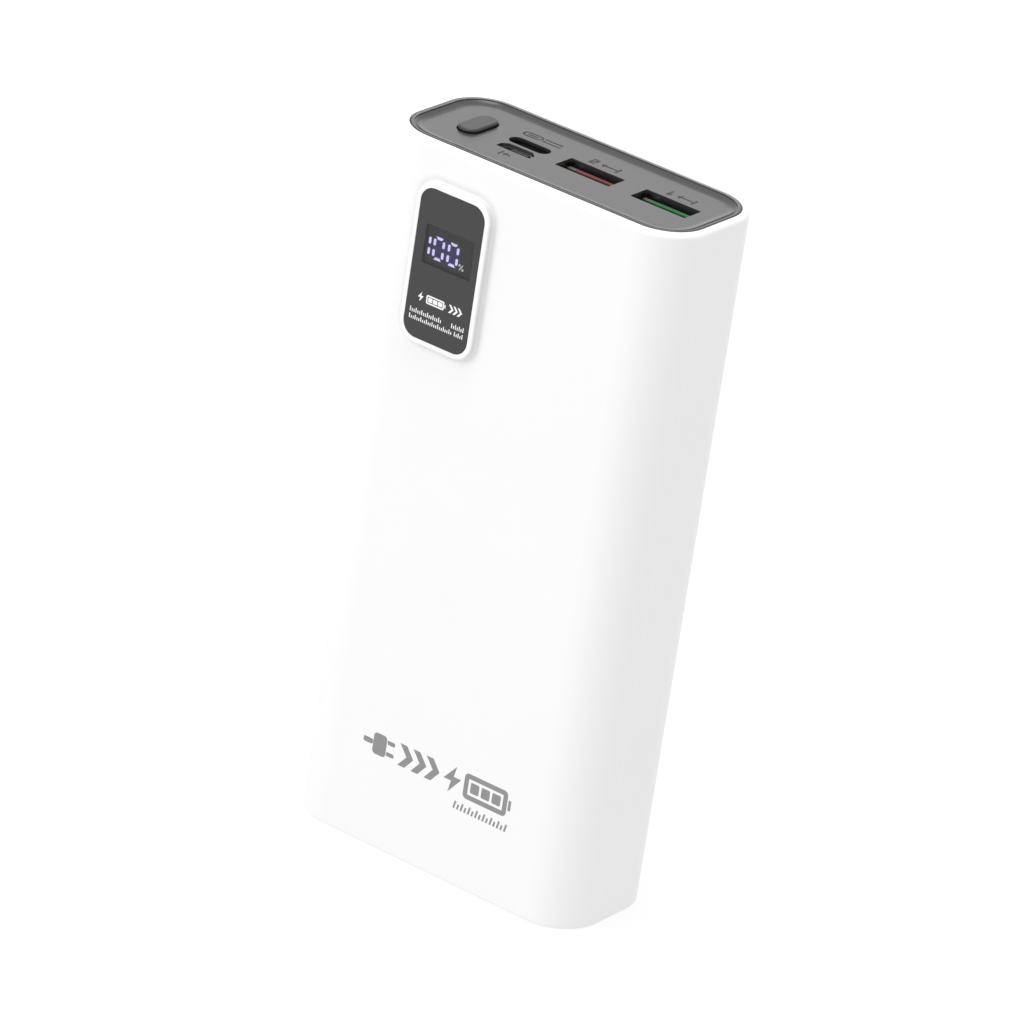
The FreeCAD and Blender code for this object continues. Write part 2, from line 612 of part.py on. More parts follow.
def usb_c():
    """USB-C socket with its thin central tongue."""
    width, depth, length = USB_C_OUTER
    centre = (USB_C_X, USB_C_Y)
    base_z = MOUTH_Z - length
    inner_w = width - 2.0 * USB_C_WALL
    inner_d = depth - 2.0 * USB_C_WALL
    shell = stadium(width, depth, (base_z, MOUTH_Z), centre)
    keep("usb_c_shell", shell.cut(stadium(inner_w, inner_d, (base_z - 1.0, MOUTH_Z + 1.0),
                                          centre)))
    tip_z = MOUTH_Z - USB_C_TONGUE_SET_BACK
    tongue = upright(USB_C_TONGUE[0], USB_C_TONGUE[1], 0.0, (base_z, tip_z), centre)
    tongue = tongue.fuse(stadium(inner_w, inner_d, (base_z, base_z + 1.5), centre))
    contacts = []
    for side in (-1.0, 1.0):
        outer = USB_C_Y + side * USB_C_TONGUE[1] / 2.0
        inner = outer - side * 0.1
        for step in range(12):
            x = USB_C_X + (step - 5.5) * 0.5
            contacts.append(box((x - 0.13, x + 0.13), (min(inner, outer),
                                                       max(inner, outer)),
                                (base_z + 1.5, tip_z - 0.5)))
    for contact in contacts:
        tongue = tongue.cut(contact)
    keep("usb_c_tongue", tongue)
    keep("usb_c_contacts", Part.makeCompound(contacts))


def micro_usb():
    """Micro-USB socket on the front face of the board."""
    width, depth, length = MICRO_OUTER
    centre = (MICRO_X, MICRO_Y)
    base_z = MOUTH_Z - length
    inner_w = width - 2.0 * MICRO_WALL
    inner_d = depth - 2.0 * MICRO_WALL
    through = (base_z - 1.0, MICRO_MOUTH_Z + 1.0)
    shell = chamfered_slot(width, depth, MICRO_CHAMFER, (base_z, MICRO_MOUTH_Z), centre)
    keep("micro_usb_shell", shell.cut(chamfered_slot(inner_w, inner_d, MICRO_CHAMFER - 0.1,
                                                     through, centre)))
    tongue_w, tongue_t = MICRO_TONGUE
    tip_z = MICRO_MOUTH_Z - MICRO_TONGUE_SET_BACK
    middle_x = MICRO_X + MICRO_TONGUE_OFFSET[0]
    face_y = MICRO_Y + MICRO_TONGUE_OFFSET[1] - tongue_t / 2.0
    tongue = box((middle_x - tongue_w / 2.0, middle_x + tongue_w / 2.0),
                 (face_y, face_y + tongue_t), (base_z, tip_z))
    tongue = tongue.fuse(chamfered_slot(inner_w, inner_d, MICRO_CHAMFER - 0.1,
                                        (base_z, base_z + 1.0), centre))
    contacts = []
    for step in range(5):
        x = middle_x + (step - 2) * 0.65
        contacts.append(box((x - 0.2, x + 0.2), (face_y, face_y + 0.1),
                            (base_z + 1.0, tip_z - 0.25)))
    for contact in contacts:
        tongue = tongue.cut(contact)
    keep("micro_usb_tongue", tongue)
    keep("micro_usb_contacts", Part.makeCompound(contacts))


def main_board():
    """Upright circuit board, sunk around the USB-A sockets and under the button."""
    board = box((-BOARD_HALF_WIDTH, BOARD_HALF_WIDTH), (BOARD_FRONT_Y, BOARD_BACK_Y),
                (BOARD_BOTTOM_Z, BOARD_TOP_Z))
    socket_gap = 0.1
    for x in USB_A_X:
        half = USB_A_OUTER[0] / 2.0 + socket_gap
        board = board.cut(box((x - half, x + half), (BOARD_FRONT_Y - 1, BOARD_BACK_Y + 1),
                              (MOUTH_Z - USB_A_OUTER[2] - 0.2, BOARD_TOP_Z + 1)))
    board = board.cut(box(BOARD_NOTCH_X, (BOARD_FRONT_Y - 1, BOARD_BACK_Y + 1),
                          (BOARD_NOTCH_Z, BOARD_TOP_Z + 1)))
    for x in SCREW_X:
        board = board.cut(rod(SCREW_RADIUS + 0.15, vec(x, BOARD_FRONT_Y - 1, SCREW_Z),
                              vec(x, BOARD_BACK_Y + 1, SCREW_Z)))
    keep("main_board", board)


def chip(x, z, size, height, front):
    """Square package on the front or back face of the main board."""
    y_range = (BOARD_FRONT_Y - height, BOARD_FRONT_Y)
    if not front:
        y_range = (BOARD_BACK_Y, BOARD_BACK_Y + height)
    return facing(size, size, 0.0, y_range, (x, z))


def board_components():
    """Chips, coils and capacitors of the charging circuit."""
    keep("charge_controller", chip(-2.5, 118.5, 7.0, 0.9, True))
    keep("port_controller", chip(9.0, 121.0, 5.0, 0.9, False))
    for index, x in enumerate((7.0, 17.0)):
        coil = facing(7.3, 6.8, 1.0, (BOARD_FRONT_Y - 5.0, BOARD_FRONT_Y), (x, 124.0))
        keep("power_coil_" + str(index + 1), coil)
    cans = [rod(3.15, vec(x, BOARD_FRONT_Y, 113.5), vec(x, BOARD_FRONT_Y - 5.8, 113.5))
            for x in (5.0, 12.5, 20.0)]
    keep("bulk_capacitors", Part.makeCompound(cans))
    small = []
    for row_z in (127.0, 129.2):
        for step in range(6):
            x = -8.2 + step * 2.0
            small.append(box((x - 0.4, x + 0.4), (BOARD_FRONT_Y - 0.55, BOARD_FRONT_Y),
                             (row_z - 0.8, row_z + 0.8)))
    keep("small_components", Part.makeCompound(small))


def inner_frame():
    """Carrier for the cells and the board: base, rails, cross wall and bosses."""
    base_z = COVER_THICKNESS
    frame = upright(FRAME_WIDTH, FRAME_DEPTH, FRAME_CORNER, (base_z, RAIL_TOP_Z))
    above_wall = (CROSS_WALL_Z[1], RAIL_TOP_Z + 1.0)
    below_wall = (base_z + FRAME_BASE, CROSS_WALL_Z[0])
    rail_gap = (-RAIL_INNER_X, RAIL_INNER_X)
    plate_y = FRAME_DEPTH / 2.0 - BACK_PLATE_THICKNESS
    frame = frame.cut(box(rail_gap, (-20.0, 20.0), below_wall))
    frame = frame.cut(box(rail_gap, (-20.0, plate_y), above_wall))
    frame = frame.cut(box(rail_gap, (plate_y - 0.1, 20.0),
                          (BACK_PLATE_TOP_Z, RAIL_TOP_Z + 1.0)))
    for x in SCREW_X:
        frame = frame.fuse(rod(BOSS_RADIUS, vec(x, BOARD_BACK_Y, SCREW_Z),
                               vec(x, plate_y + 0.1, SCREW_Z)))
        frame = frame.cut(rod(PILOT_RADIUS, vec(x, BOARD_BACK_Y - 1.0, SCREW_Z),
                              vec(x, BOARD_BACK_Y + SCREW_LENGTH, SCREW_Z)))
    for side in (-1.0, 1.0):
        near = side * (RAIL_INNER_X - 1.0)
        far = side * (RAIL_INNER_X + GROOVE_DEPTH)
        frame = frame.cut(box((min(near, far), max(near, far)),
                              (BOARD_FRONT_Y - GROOVE_GAP, BOARD_BACK_Y + GROOVE_GAP),
                              (BOARD_BOTTOM_Z, RAIL_TOP_Z + 1.0)))
        tab_x = side * TAB_X
        frame = frame.cut(box((tab_x - TAB_WIDTH / 2.0 - 0.3, tab_x + TAB_WIDTH / 2.0 + 0.3),
                              (THERMISTOR_Y - 0.5, THERMISTOR_Y + 0.5),
                              (CROSS_WALL_Z[0] - 0.5, CROSS_WALL_Z[1] + 0.5)))
    frame = frame.cut(rod(WELL_RADIUS, vec(0, THERMISTOR_Y, CROSS_WALL_Z[0] - 0.5),
                          vec(0, THERMISTOR_Y, CROSS_WALL_Z[1] + 0.5)))
    keep("inner_frame", frame.removeSplitter())

    screws = []
    for x in SCREW_X:
        head_y = BOARD_FRONT_Y - SCREW_HEAD[1]
        shank = rod(SCREW_RADIUS, vec(x, BOARD_FRONT_Y, SCREW_Z),
                    vec(x, BOARD_BACK_Y + SCREW_LENGTH - 1.0, SCREW_Z))
        head = rod(SCREW_HEAD[0], vec(x, head_y, SCREW_Z), vec(x, BOARD_FRONT_Y, SCREW_Z))
        slot = box((x - 0.25, x + 0.25), (head_y - 0.1, head_y + 0.5),
                   (SCREW_Z - 1.3, SCREW_Z + 1.3))
        screws.append(head.fuse(shank).cut(slot))
    keep("board_screws", Part.makeCompound(screws))


def battery_cells():
    """Two pouch cells back to back with tape, bands, foam pads and tabs."""
    for name, side in (("battery_cell_front", -1.0), ("battery_cell_back", 1.0)):
        middle = side * (CELL_SPACING + CELL_THICKNESS) / 2.0
        cell = upright(CELL_WIDTH, CELL_THICKNESS, 0.0, (CELL_BASE_Z, CELL_BODY_TOP_Z),
                       (0.0, middle))
        cell = cell.makeFillet(CELL_ROUND, cell.Edges)
        terrace = upright(TERRACE_SIZE[0], TERRACE_SIZE[1], 0.0,
                          (CELL_BODY_TOP_Z - 1.0, TERRACE_TOP_Z), (0.0, middle))
        keep(name, cell.fuse(terrace).removeSplitter())
    keep("cell_tape", box((-TAPE_SIZE[0] / 2.0, TAPE_SIZE[0] / 2.0),
                          (-CELL_SPACING / 2.0, CELL_SPACING / 2.0),
                          (CELL_BASE_Z + 3.0, CELL_BASE_Z + 3.0 + TAPE_SIZE[1])))
    stack_depth = 2.0 * CELL_THICKNESS + CELL_SPACING
    for name, level in (("cell_band_lower", BAND_Z[0]), ("cell_band_upper", BAND_Z[1])):
        z_range = (level, level + BAND_HEIGHT)
        band = upright(CELL_WIDTH + 2.0 * BAND_THICKNESS, stack_depth + 2.0 * BAND_THICKNESS,
                       CELL_ROUND + BAND_THICKNESS, z_range)
        keep(name, band.cut(upright(CELL_WIDTH, stack_depth, CELL_ROUND, z_range)))
    cell_face = stack_depth / 2.0
    shell_face = CAVITY_DEPTH / 2.0
    for name, y_range in (("foam_pad_front", (-shell_face, -cell_face)),
                          ("foam_pad_back", (cell_face, shell_face))):
        keep(name, box((-FOAM_SIZE[0] / 2.0, FOAM_SIZE[0] / 2.0), y_range,
                       (FOAM_Z, FOAM_Z + FOAM_SIZE[1])))
    tab_half = TAB_WIDTH / 2.0
    for name, side in (("cell_tab_positive", -1.0), ("cell_tab_negative", 1.0)):
        x_range = (side * TAB_X - tab_half, side * TAB_X + tab_half)
        strip = box(x_range, (-THERMISTOR_Y - 1.0, THERMISTOR_Y + 1.0),
                    (TERRACE_TOP_Z, TERRACE_TOP_Z + TAB_THICKNESS))
        leg = box(x_range, (THERMISTOR_Y - TAB_THICKNESS / 2.0,
                            THERMISTOR_Y + TAB_THICKNESS / 2.0),
                  (TERRACE_TOP_Z, CROSS_WALL_Z[1]))
        keep(name, strip.fuse(leg))


def bent_wire(radius, x, start_y, start_z, rise):
    """Round wire that leaves upwards, then turns towards the main board."""
    turn = start_y - BOARD_BACK_Y
    corner = vec(x, start_y, start_z + rise)
    middle = vec(x, start_y - turn * (1.0 - math.cos(math.pi / 4.0)),
                 corner.z + turn * math.sin(math.pi / 4.0))
    end = vec(x, BOARD_BACK_Y, corner.z + turn)
    path = Part.Wire([Part.LineSegment(vec(x, start_y, start_z), corner).toShape(),
                      Part.Arc(corner, middle, end).toShape()])
    circle = Part.Circle(vec(x, start_y, start_z), Z_AXIS, radius)
    profile = Part.Wire([circle.toShape()])
    return path.makePipeShell([profile], True, True)


def protection():
    """Cell protection board with its switches, thermistor and supply leads."""
    base_z = CROSS_WALL_Z[1]
    top_z = base_z + PROTECT_THICKNESS
    board = box((-PROTECT_HALF_WIDTH, PROTECT_HALF_WIDTH), PROTECT_Y, (base_z, top_z))
    board = board.cut(rod(WELL_RADIUS, vec(0, THERMISTOR_Y, base_z - 1),
                          vec(0, THERMISTOR_Y, top_z + 1)))
    keep("protection_board", board)
    keep("protection_switches", Part.makeCompound([
        box((x - 2.0, x + 2.0), (4.0, 8.0), (top_z, top_z + 1.0)) for x in (6.0, 12.0)]))
    for name, x in (("lead_positive", LEAD_X[0]), ("lead_negative", LEAD_X[1])):
        keep(name, bent_wire(LEAD_RADIUS, x, LEAD_Y, top_z, LEAD_RISE))
    bead_z = TERRACE_TOP_Z + THERMISTOR_RADIUS
    bead = Part.makeSphere(THERMISTOR_RADIUS, vec(0, THERMISTOR_Y, bead_z))
    for x in (-0.5, 0.5):
        bead = bead.fuse(bent_wire(THERMISTOR_WIRE, x, THERMISTOR_Y, bead_z, 5.0))
    keep("thermistor", bead)


def main():
    main_shell()
    bottom_cover()
    port_panel()
    panel_clip_ring()
    button_guide()
    power_button()
    tact_switch()
    window_and_display()
    for index, x in enumerate(USB_A_X):
        usb_a(2 - index, x)
    usb_c()
    micro_usb()
    main_board()
    board_components()
    inner_frame()
    battery_cells()
    protection()

    os.makedirs("parts", exist_ok=True)
    for name, shape in PARTS.items():
        shape.exportStep("parts/" + name + ".step")
        print(name, round(shape.Volume, 3), len(shape.Solids))


main()
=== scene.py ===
import json
import math

import bmesh
import bpy
from mathutils import Matrix, Vector


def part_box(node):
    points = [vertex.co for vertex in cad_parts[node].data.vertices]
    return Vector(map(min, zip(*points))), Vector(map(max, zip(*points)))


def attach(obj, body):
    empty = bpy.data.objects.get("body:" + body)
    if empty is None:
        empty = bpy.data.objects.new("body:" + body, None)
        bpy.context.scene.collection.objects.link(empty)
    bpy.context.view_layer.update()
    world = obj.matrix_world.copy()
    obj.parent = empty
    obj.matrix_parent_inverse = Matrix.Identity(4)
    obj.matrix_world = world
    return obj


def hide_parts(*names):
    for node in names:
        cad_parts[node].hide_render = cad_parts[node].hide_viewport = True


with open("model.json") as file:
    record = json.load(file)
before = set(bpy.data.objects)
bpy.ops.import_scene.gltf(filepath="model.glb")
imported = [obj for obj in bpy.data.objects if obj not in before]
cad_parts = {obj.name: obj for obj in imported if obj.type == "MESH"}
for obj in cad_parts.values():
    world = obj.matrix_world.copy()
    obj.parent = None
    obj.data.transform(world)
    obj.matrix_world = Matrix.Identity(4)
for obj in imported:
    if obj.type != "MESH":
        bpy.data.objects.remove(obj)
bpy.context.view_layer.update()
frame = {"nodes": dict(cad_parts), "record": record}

MM = 0.001

# ------------------------------------------------------------------ frame levels
NODES = frame["nodes"]
BODY_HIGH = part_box("main_shell")[1]
WINDOW_LOW, WINDOW_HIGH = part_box("display_window")
MODULE_LOW, MODULE_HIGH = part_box("display_module")
BODY_TOP = BODY_HIGH.z
FRONT_Y = -BODY_HIGH.y                 # the plain front wall, behind the window pad
RECESS_DEPTH = 0.6 * MM
PANEL_FLOOR = BODY_TOP - RECESS_DEPTH
INK = 0.02 * MM                        # thickness of a printed layer
NOISE_LOW, NOISE_HIGH = 0.3, 0.7       # where nearly all of a noise texture's values lie
# Black painted as shade down the sides and bores of the panel and the key
PAINTED_SHADE_BLACK = (0.005, 0.005, 0.005, 1.0)


# ---------------------------------------------------------------- material tools
def new_material(name):
    """New node material that holds only an output and a shader."""
    material = bpy.data.materials.new(name)
    material.use_nodes = True
    tree = material.node_tree
    tree.nodes.clear()
    output = tree.nodes.new("ShaderNodeOutputMaterial")
    shader = tree.nodes.new("ShaderNodeBsdfPrincipled")
    tree.links.new(shader.outputs["BSDF"], output.inputs["Surface"])
    return material, tree, shader


def object_noise(tree, size_mm, detail=2.0, stretch=(1.0, 1.0, 1.0)):
    """Noise whose features are about size_mm across, fixed to the object."""
    place = tree.nodes.new("ShaderNodeTexCoord")
    mapping = tree.nodes.new("ShaderNodeMapping")
    mapping.inputs["Scale"].default_value = stretch
    noise = tree.nodes.new("ShaderNodeTexNoise")
    noise.inputs["Scale"].default_value = 1.0 / (size_mm * MM)
    noise.inputs["Detail"].default_value = detail
    tree.links.new(place.outputs["Object"], mapping.inputs["Vector"])
    tree.links.new(mapping.outputs["Vector"], noise.inputs["Vector"])
    return noise


def tone_between(tree, factor, dark, light):
    """Colour that runs from dark to light as a noise runs over its usual values."""
    ramp = tree.nodes.new("ShaderNodeValToRGB")
    ramp.color_ramp.elements[0].position = NOISE_LOW
    ramp.color_ramp.elements[0].color = (*dark, 1.0)
    ramp.color_ramp.elements[1].position = NOISE_HIGH
    ramp.color_ramp.elements[1].color = (*light, 1.0)
    tree.links.new(factor, ramp.inputs["Fac"])
    return ramp.outputs["Color"]


def range_between(tree, factor, low, high):
    """Number that runs from low to high as a noise runs over its usual values."""
    spread = tree.nodes.new("ShaderNodeMapRange")
    spread.inputs["From Min"].default_value = NOISE_LOW
    spread.inputs["From Max"].default_value = NOISE_HIGH
    spread.inputs["To Min"].default_value = low
    spread.inputs["To Max"].default_value = high
    tree.links.new(factor, spread.inputs["Value"])
    return spread.outputs["Result"]


def add_bump(tree, shader, height, strength, depth_mm):
    """Fine relief that follows a noise."""
    bump = tree.nodes.new("ShaderNodeBump")
    bump.inputs["Strength"].default_value = strength
    bump.inputs["Distance"].default_value = depth_mm * MM
    tree.links.new(height, bump.inputs["Height"])
    tree.links.new(bump.outputs["Normal"], shader.inputs["Normal"])


def scaled(colour, factor):
    """Colour made lighter or darker, never above full strength."""
    return tuple(min(1.0, part * factor) for part in colour)


def moulded(name, colour, roughness, variation=0.03, blotch_mm=9.0, grain_mm=0.35,
            grain_depth_mm=0.004, grain_strength=0.25, gloss_drift=0.1,
            stretch=(1.0, 1.0, 1.0), metallic=0.0, ior=1.5):
    """Moulded or plated surface: slow tone drift, uneven gloss and a fine grain."""
    material, tree, shader = new_material(name)
    shader.inputs["Metallic"].default_value = metallic
    shader.inputs["IOR"].default_value = ior
    blotch = object_noise(tree, blotch_mm, 3.0, stretch)
    grain = object_noise(tree, grain_mm, 2.0, stretch)
    tone = tone_between(tree, blotch.outputs["Fac"], scaled(colour, 1.0 - variation),
                        scaled(colour, 1.0 + variation))
    tree.links.new(tone, shader.inputs["Base Color"])
    gloss = range_between(tree, grain.outputs["Fac"], roughness * (1.0 - gloss_drift),
                          roughness * (1.0 + gloss_drift))
    tree.links.new(gloss, shader.inputs["Roughness"])
    add_bump(tree, shader, grain.outputs["Fac"], grain_strength, grain_depth_mm)
    return material, tree, shader


def paint_corner_shade(tree, shader, reach_mm, strength):
    """Painted shade: darkens the tone a little where two faces of one piece meet in a corner.
    """
    tone = shader.inputs["Base Color"].links[0].from_socket
    # Ambient occlusion paints the corner shade into the colour
    corner = tree.nodes.new("ShaderNodeAmbientOcclusion")
    corner.only_local = True
    corner.inputs["Distance"].default_value = reach_mm * MM
    mix = tree.nodes.new("ShaderNodeMix")
    mix.data_type = "RGBA"
    mix.inputs["Factor"].default_value = strength
    tree.links.new(tone, corner.inputs["Color"])
    tree.links.new(tone, mix.inputs["A"])
    tree.links.new(corner.outputs["Color"], mix.inputs["B"])
    tree.links.new(mix.outputs["Result"], shader.inputs["Base Color"])


def satin_white():
    """White shell with a fine satin grain and painted soft shade around its window pad."""
    material, tree, shader = moulded("satin_white", (0.86, 0.86, 0.86), 0.34,
                                     variation=0.006, blotch_mm=22.0, grain_mm=0.25,
                                     grain_depth_mm=0.002, grain_strength=0.15)
    # Painted shade in the shell's inner corners, strongest around the window pad
    paint_corner_shade(tree, shader, reach_mm=1.7, strength=0.5)
    return material


def below_level(tree, low, high):
    """1 below one height of the object, 0 above the other, and even between."""
    place = tree.nodes.new("ShaderNodeTexCoord")
    split = tree.nodes.new("ShaderNodeSeparateXYZ")
    ramp = tree.nodes.new("ShaderNodeMapRange")
    ramp.inputs["From Min"].default_value = low
    ramp.inputs["From Max"].default_value = high
    ramp.inputs["To Min"].default_value = 1.0
    ramp.inputs["To Max"].default_value = 0.0
    tree.links.new(place.outputs["Object"], split.inputs["Vector"])
    tree.links.new(split.outputs["Z"], ramp.inputs["Value"])
    return ramp.outputs["Result"]


def grey_over_painted_shade(name, top_colour, roughness, low, high, ior=1.5):
    """Grey finish that fades to black down the sides and bores; the black is painted shade.
    """
    material, tree, shader = moulded(name, top_colour, roughness, variation=0.02,
                                     blotch_mm=6.0, grain_mm=0.18, grain_depth_mm=0.001,
                                     grain_strength=0.05, gloss_drift=0.03, ior=ior)
    grey_tone = shader.inputs["Base Color"].links[0].from_socket
    mix = tree.nodes.new("ShaderNodeMix")
    mix.data_type = "RGBA"
    tree.links.new(below_level(tree, low, high), mix.inputs["Factor"])
    tree.links.new(grey_tone, mix.inputs["A"])
    # Below the level the colour turns to painted black shade
    mix.inputs["B"].default_value = PAINTED_SHADE_BLACK
    tree.links.new(mix.outputs["Result"], shader.inputs["Base Color"])
    return material


def smoked_acrylic():
    """Polished dark window that lets the lit digits through."""
    material, tree, shader = new_material("smoked_acrylic")
    shader.inputs["Transmission Weight"].default_value = 1.0
    shader.inputs["IOR"].default_value = 1.49
    smudge = object_noise(tree, 5.0, 3.0)
    tone = tone_between(tree, smudge.outputs["Fac"], (0.33, 0.33, 0.335), (0.37, 0.37, 0.37))
    tree.links.new(tone, shader.inputs["Base Color"])
    gloss = range_between(tree, smudge.outputs["Fac"], 0.015, 0.04)
    tree.links.new(gloss, shader.inputs["Roughness"])
    return material


def glowing(name, colour, sign_colour, sign_x, strength):
    """Lit diffuser, slightly uneven; the small sign at the right end glows less."""
    material, tree, shader = new_material(name)
    uneven = object_noise(tree, 0.6, 1.0)
    tone = tone_between(tree, uneven.outputs["Fac"], scaled(colour, 0.92), colour)
    place = tree.nodes.new("ShaderNodeTexCoord")
    split = tree.nodes.new("ShaderNodeSeparateXYZ")
    beyond = tree.nodes.new("ShaderNodeMath")
    beyond.operation = "GREATER_THAN"
    beyond.inputs[1].default_value = sign_x
    mix = tree.nodes.new("ShaderNodeMix")
    mix.data_type = "RGBA"
    tree.links.new(place.outputs["Object"], split.inputs["Vector"])
    tree.links.new(split.outputs["X"], beyond.inputs[0])
    tree.links.new(beyond.outputs["Value"], mix.inputs["Factor"])
    tree.links.new(tone, mix.inputs["A"])
    mix.inputs["B"].default_value = (*sign_colour, 1.0)
    tree.links.new(mix.outputs["Result"], shader.inputs["Emission Color"])
    shader.inputs["Emission Strength"].default_value = strength
    shader.inputs["Base Color"].default_value = (0.2, 0.2, 0.22, 1.0)
    shader.inputs["Roughness"].default_value = 0.5
    return material


def display_face():
    """Black digit module with a painted faint violet glow around the lit bars, standing in
    for their light spill.
    """
    material, tree, shader = moulded("display_face", (0.006, 0.006, 0.007), 0.6)
    middle = (MODULE_LOW + MODULE_HIGH) / 2.0
    place = tree.nodes.new("ShaderNodeTexCoord")
    centred = tree.nodes.new("ShaderNodeMapping")
    reach_x = 5.2 * MM
    reach_z = 3.3 * MM
    glow_x = middle.x - 0.55 * MM
    centred.inputs["Location"].default_value = (-glow_x / reach_x, 0.0, -middle.z / reach_z)
    centred.inputs["Scale"].default_value = (1.0 / reach_x, 0.0, 1.0 / reach_z)
    length = tree.nodes.new("ShaderNodeVectorMath")
    length.operation = "LENGTH"
    fade = tree.nodes.new("ShaderNodeValToRGB")
    fade.color_ramp.interpolation = "EASE"
    fade.color_ramp.elements[0].position = 0.45
    fade.color_ramp.elements[0].color = (0.012, 0.006, 0.17, 1.0)
    fade.color_ramp.elements[1].position = 1.0
    fade.color_ramp.elements[1].color = (0.0, 0.0, 0.0, 1.0)
    tree.links.new(place.outputs["Object"], centred.inputs["Vector"])
    tree.links.new(centred.outputs["Vector"], length.inputs[0])
    tree.links.new(length.outputs["Value"], fade.inputs["Fac"])
    # Painted glow: the bars' light spill is painted as emission on the module face
    tree.links.new(fade.outputs["Color"], shader.inputs["Emission Color"])
    shader.inputs["Emission Strength"].default_value = 1.0
    return material


def plain(name, colour, roughness, **extra):
    """Moulded material that needs no further nodes."""
    return moulded(name, colour, roughness, **extra)[0]


SIGN_LEFT = (MODULE_LOW.x + MODULE_HIGH.x) / 2.0 + 2.9 * MM

# Heights between which the grey fades to painted black shade, on the key and on the panel
BUTTON_SIDE = (PANEL_FLOOR + 0.15 * MM, PANEL_FLOOR + 0.5 * MM)
PANEL_SIDE = (PANEL_FLOOR - 0.9 * MM, PANEL_FLOOR - 0.03 * MM)

MATERIALS = {
    "shell_white": satin_white(),
    "panel_grey": grey_over_painted_shade("grey_panel_shaded_below", (0.055, 0.055, 0.055), 0.26, *PANEL_SIDE),
    "button_grey": grey_over_painted_shade("grey_button_shaded_below", (0.05, 0.05, 0.05), 0.4, *BUTTON_SIDE, 1.38),
    "smoked_window": smoked_acrylic(),
    "adhesive_black": plain("black_foam", (0.02, 0.02, 0.02), 0.9, grain_depth_mm=0.02),
    "display_black": display_face(),
    "digits_lit": glowing("lit_bars", (0.64, 0.59, 0.98), (0.42, 0.42, 0.45), SIGN_LEFT, 3.0),
    "header_black": plain("black_resin", (0.018, 0.018, 0.018), 0.45),
    "plunger_white": plain("ivory_resin", (0.65, 0.63, 0.56), 0.45),
    "board_green": plain("green_mask", (0.012, 0.11, 0.045), 0.3, variation=0.12,
                         blotch_mm=3.0),
    "frame_white": plain("ivory_frame", (0.7, 0.7, 0.67), 0.5),
    "tongue_green": plain("green_resin", (0.035, 0.16, 0.055), 0.45),
    "tongue_red": plain("red_resin", (0.17, 0.05, 0.045), 0.45),
    "socket_metal": plain("dark_plated_steel", (0.09, 0.09, 0.09), 0.35, metallic=1.0,
                          stretch=(1.0, 1.0, 0.15)),
    "contact_gold": plain("plated_contact", (0.5, 0.49, 0.46), 0.4, metallic=1.0,
                          stretch=(1.0, 1.0, 0.15)),
    "coil_grey": plain("pressed_powder", (0.07, 0.07, 0.07), 0.8, grain_depth_mm=0.02),
    "component_metal": plain("satin_can", (0.55, 0.55, 0.57), 0.3, metallic=1.0),
    "screw_steel": plain("zinc_plate", (0.5, 0.5, 0.52), 0.3, metallic=1.0),
    "cell_foil": plain("laminate_foil", (0.5, 0.5, 0.52), 0.42, metallic=0.7,
                       blotch_mm=4.0, grain_depth_mm=0.02),
    "band_amber": plain("amber_film", (0.55, 0.22, 0.02), 0.25),
    "nickel": plain("nickel_strip", (0.6, 0.56, 0.5), 0.3, metallic=1.0),
    "lead_red": plain("red_insulation", (0.5, 0.02, 0.02), 0.5),
    "lead_black": plain("black_insulation", (0.015, 0.015, 0.015), 0.5),
}

# Pieces whose finish differs from the rest of their slot
MICRO_METAL = plain("nickel_shell", (0.3, 0.3, 0.3), 0.4, metallic=1.0,
                    stretch=(1.0, 1.0, 0.15))
DULL_CONTACT = plain("dull_contact", (0.1, 0.1, 0.09), 0.6, metallic=0.6)
MICRO_RESIN = plain("micro_resin", (0.045, 0.045, 0.045), 0.5)
OWN_FINISH = {"micro_usb_shell": MICRO_METAL, "micro_usb_tongue": MICRO_RESIN,
              "usb_a_1_contacts": DULL_CONTACT, "usb_a_2_contacts": DULL_CONTACT}
for part in frame["record"]["subparts"]:
    node = part["node"]
    slots = NODES[node].data.materials
    slots.clear()
    slots.append(OWN_FINISH.get(node, MATERIALS[part["material_slot"]]))

GREY_INK = plain("grey_ink", (0.25, 0.25, 0.25), 0.5, variation=0.04, blotch_mm=1.5)
PANEL_INK = plain("panel_ink", (0.03, 0.03, 0.03), 0.5, variation=0.05, blotch_mm=0.8,
                  ior=1.35)
WHITE_INK = plain("white_ink", (0.9, 0.9, 0.9), 0.5, variation=0.03, blotch_mm=0.8)
MASK_INK = plain("mask_ink", (0.031, 0.031, 0.031), 0.16, variation=0.04, blotch_mm=4.0,
                 grain_strength=0.04)


# ---------------------------------------------------------------- drawing tools
# Marks are drawn in millimetres on a flat face. A mark is a list of shapes, and a
# shape is an outline or a pair of outlines: an edge and the hole inside it.
def round_rect(middle, size, corner, steps=8):
    """Outline of a rectangle with rounded corners."""
    points = []
    for turn, (sign_u, sign_v) in enumerate(((1, 1), (-1, 1), (-1, -1), (1, -1))):
        centre_u = middle[0] + sign_u * (size[0] / 2.0 - corner)
        centre_v = middle[1] + sign_v * (size[1] / 2.0 - corner)
        for step in range(steps + 1):
            angle = math.radians(90.0 * (turn + step / steps))
            points.append((centre_u + corner * math.cos(angle),
                           centre_v + corner * math.sin(angle)))
    return points


def frame_shape(middle, size, corner, stroke):
    """Outlined rounded rectangle."""
    inner_size = (size[0] - 2.0 * stroke, size[1] - 2.0 * stroke)
    inner_corner = max(corner - stroke, 0.1 * stroke)
    return (round_rect(middle, size, corner), round_rect(middle, inner_size, inner_corner))


